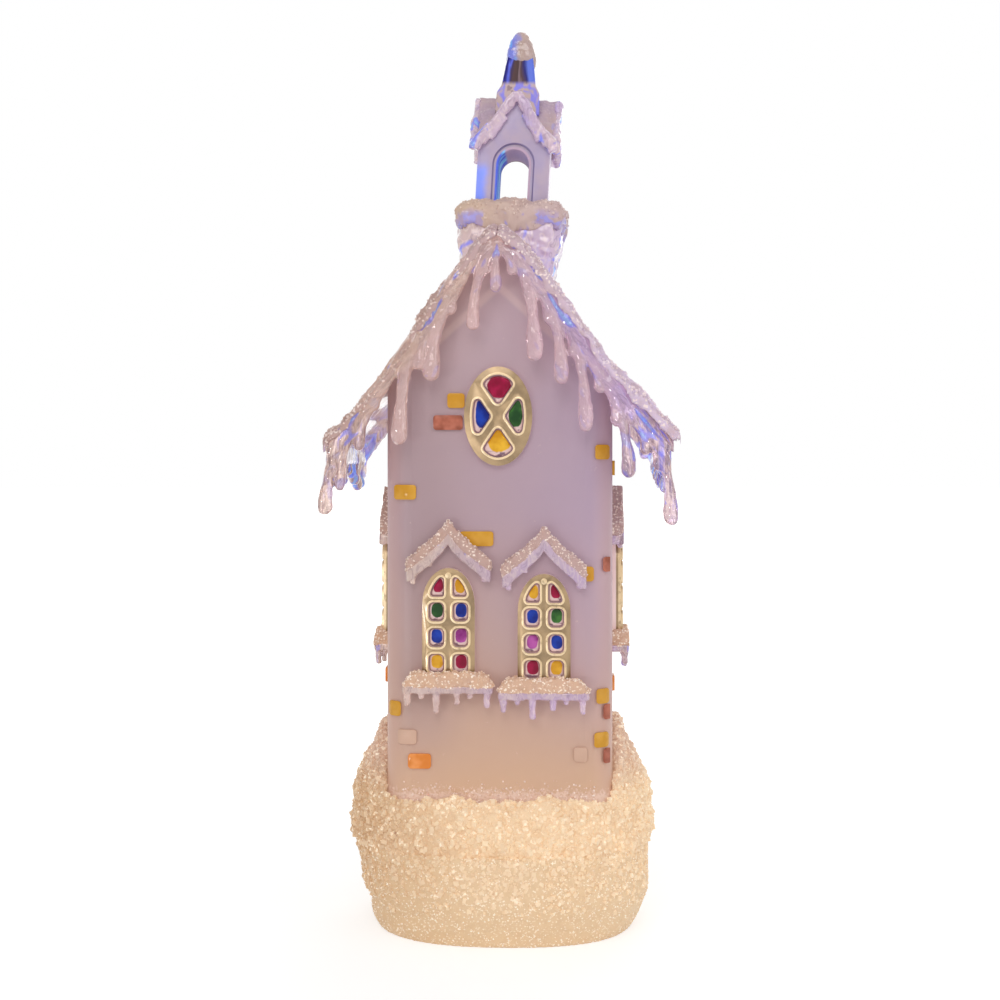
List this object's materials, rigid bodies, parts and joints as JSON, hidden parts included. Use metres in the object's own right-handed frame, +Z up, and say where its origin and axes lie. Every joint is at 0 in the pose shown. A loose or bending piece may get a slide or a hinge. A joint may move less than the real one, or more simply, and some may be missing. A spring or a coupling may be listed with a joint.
{
  "type": "lit snowy church ornament",
  "caption": "Battery-lit church ornament of clear and frosted moulded plastic with icicles, coloured windows, a belfry and a snowy base.",
  "frame": {"origin": "on the floor under the middle of the church", "axes": "+Z up, the front faces -Y, +X to the right seen from the front"},
  "size_m": [0.1148, 0.0858, 0.305],
  "materials": {
    "base_snow": "warm snow paint with fine glitter",
    "flaky_snow": "coarse flaky snow paste",
    "grain_snow": "granular glitter snow",
    "frosted": "frosted translucent acrylic, lit from inside",
    "clear_ice": "clear glossy acrylic",
    "glitter_ice": "clear acrylic with fine glitter",
    "gilt": "champagne gold paint on plastic",
    "enamel_crimson": "glossy translucent enamel",
    "enamel_blue": "glossy translucent enamel",
    "enamel_green": "glossy translucent enamel",
    "enamel_amber": "glossy translucent enamel",
    "enamel_magenta": "glossy translucent enamel",
    "brick_amber": "amber paint on raised relief",
    "brick_copper": "copper-red paint on raised relief",
    "brick_orange": "orange paint on raised relief",
    "white_plastic": "plain moulded plastic",
    "black_plastic": "plain moulded plastic",
    "steel": "nickel-plated steel",
    "cell_jacket": "plain printed jacket",
    "board": "circuit board lacquer",
    "lamp": "clear lamp resin",
    "wire": "plain insulation"
  },
  "bodies": {
    "church": {"base_shell": "base_snow", "snow_drift": "flaky_snow", "base_plate": "white_plastic", "plate_screws": "steel", "battery_cells": "cell_jacket", "contact_springs": "steel", "contact_plates": "steel", "switch_body": "black_plastic", "control_board": "board", "led_post": "white_plastic", "led_board": "board", "led_lamps": "lamp", "lead_wires": "wire", "front_wall": "frosted", "rear_wall": "frosted", "roof_left": "clear_ice", "roof_right": "clear_ice", "roof_snow_left": "grain_snow", "roof_snow_right": "grain_snow", "front_icicles": "clear_ice", "rear_icicles": "clear_ice", "left_icicles": "clear_ice", "right_icicles": "clear_ice", "collar": "clear_ice", "collar_snow": "grain_snow", "belfry_tower": "frosted", "belfry_roof": "glitter_ice", "belfry_icicles": "clear_ice", "spire": "clear_ice", "spire_snow": "glitter_ice", "front_rose_frame": "gilt", "rear_rose_frame": "gilt", "front_window_left": "gilt", "front_window_right": "gilt", "rear_window_left": "gilt", "rear_window_right": "gilt", "side_window_left": "gilt", "side_window_right": "gilt", "panes_crimson": "enamel_crimson", "panes_blue": "enamel_blue", "panes_green": "enamel_green", "panes_amber": "enamel_amber", "panes_magenta": "enamel_magenta", "window_hoods": "clear_ice", "hood_snow": "grain_snow", "sill_icicles": "clear_ice", "sill_snow": "grain_snow", "bricks_amber": "brick_amber", "bricks_copper": "brick_copper", "bricks_orange": "brick_orange", "bricks_clear": "frosted"},
    "door": {"battery_door": "white_plastic", "door_screw": "steel"},
    "knob": {"switch_knob": "black_plastic"}
  },
  "joints": [
    {"name": "door_hinge", "type": "hinge", "parent": "church", "child": "door", "pos_m": [-0.02335, 0, 0.0026], "axis": [0, 1, 0], "range_deg": [0, 80]},
    {"name": "switch_slide", "type": "slide", "parent": "church", "child": "knob", "axis": [1, 0, 0], "range_m": [0, 0.003]}
  ]
}
